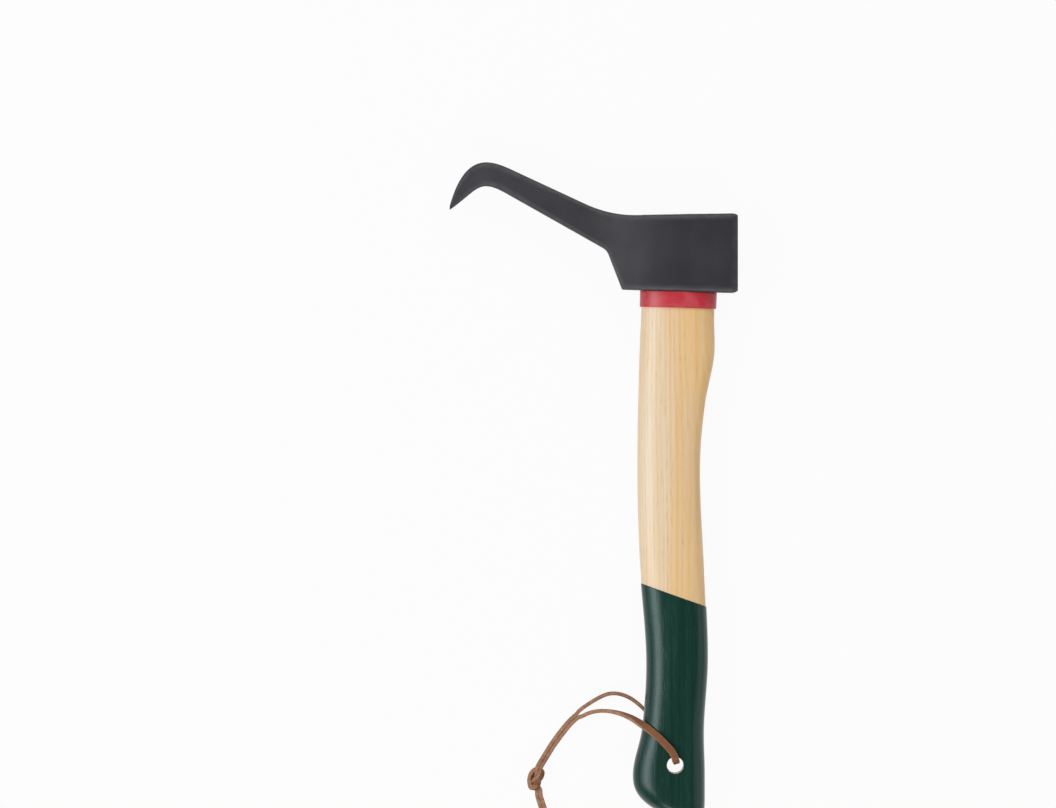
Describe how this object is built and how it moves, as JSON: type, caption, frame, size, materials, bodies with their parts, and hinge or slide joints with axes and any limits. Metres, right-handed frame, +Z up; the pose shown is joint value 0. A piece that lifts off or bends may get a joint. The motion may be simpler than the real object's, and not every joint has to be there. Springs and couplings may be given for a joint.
{
  "type": "hand log pick",
  "caption": "Short-handled forestry pick for dragging logs: a forged beaked head wedged on a curved ash handle with a dipped grip and a leather thong.",
  "frame": {"origin": "on the resting cheek of the head, straight under the middle of the eye", "axes": "the tool lies on its side: +X from the beak to the poll, +Y along the handle towards the head, +Z up from the resting surface"},
  "size_m": [0.1727, 0.4104, 0.0308],
  "materials": {
    "forged_head": "black satin lacquer over forged steel",
    "ash": "sanded ash with fine straight grain, oiled",
    "wedge_wood": "plain hardwood end grain",
    "wedge_steel": "bare pressed steel",
    "red_collar": "satin red plastic",
    "green_coating": "glossy dark green dipped lacquer",
    "leather": "waxed brown leather lace"
  },
  "bodies": {
    "root": {"head": "forged_head", "handle": "ash", "wood_wedge": "wedge_wood", "steel_wedge": "wedge_steel", "neck_collar": "red_collar", "grip_coating": "green_coating", "lanyard_front": "leather", "lanyard_back": "leather", "lanyard_knot": "leather", "lanyard_tail_a": "leather", "lanyard_tail_b": "leather"}
  },
  "joints": []
}
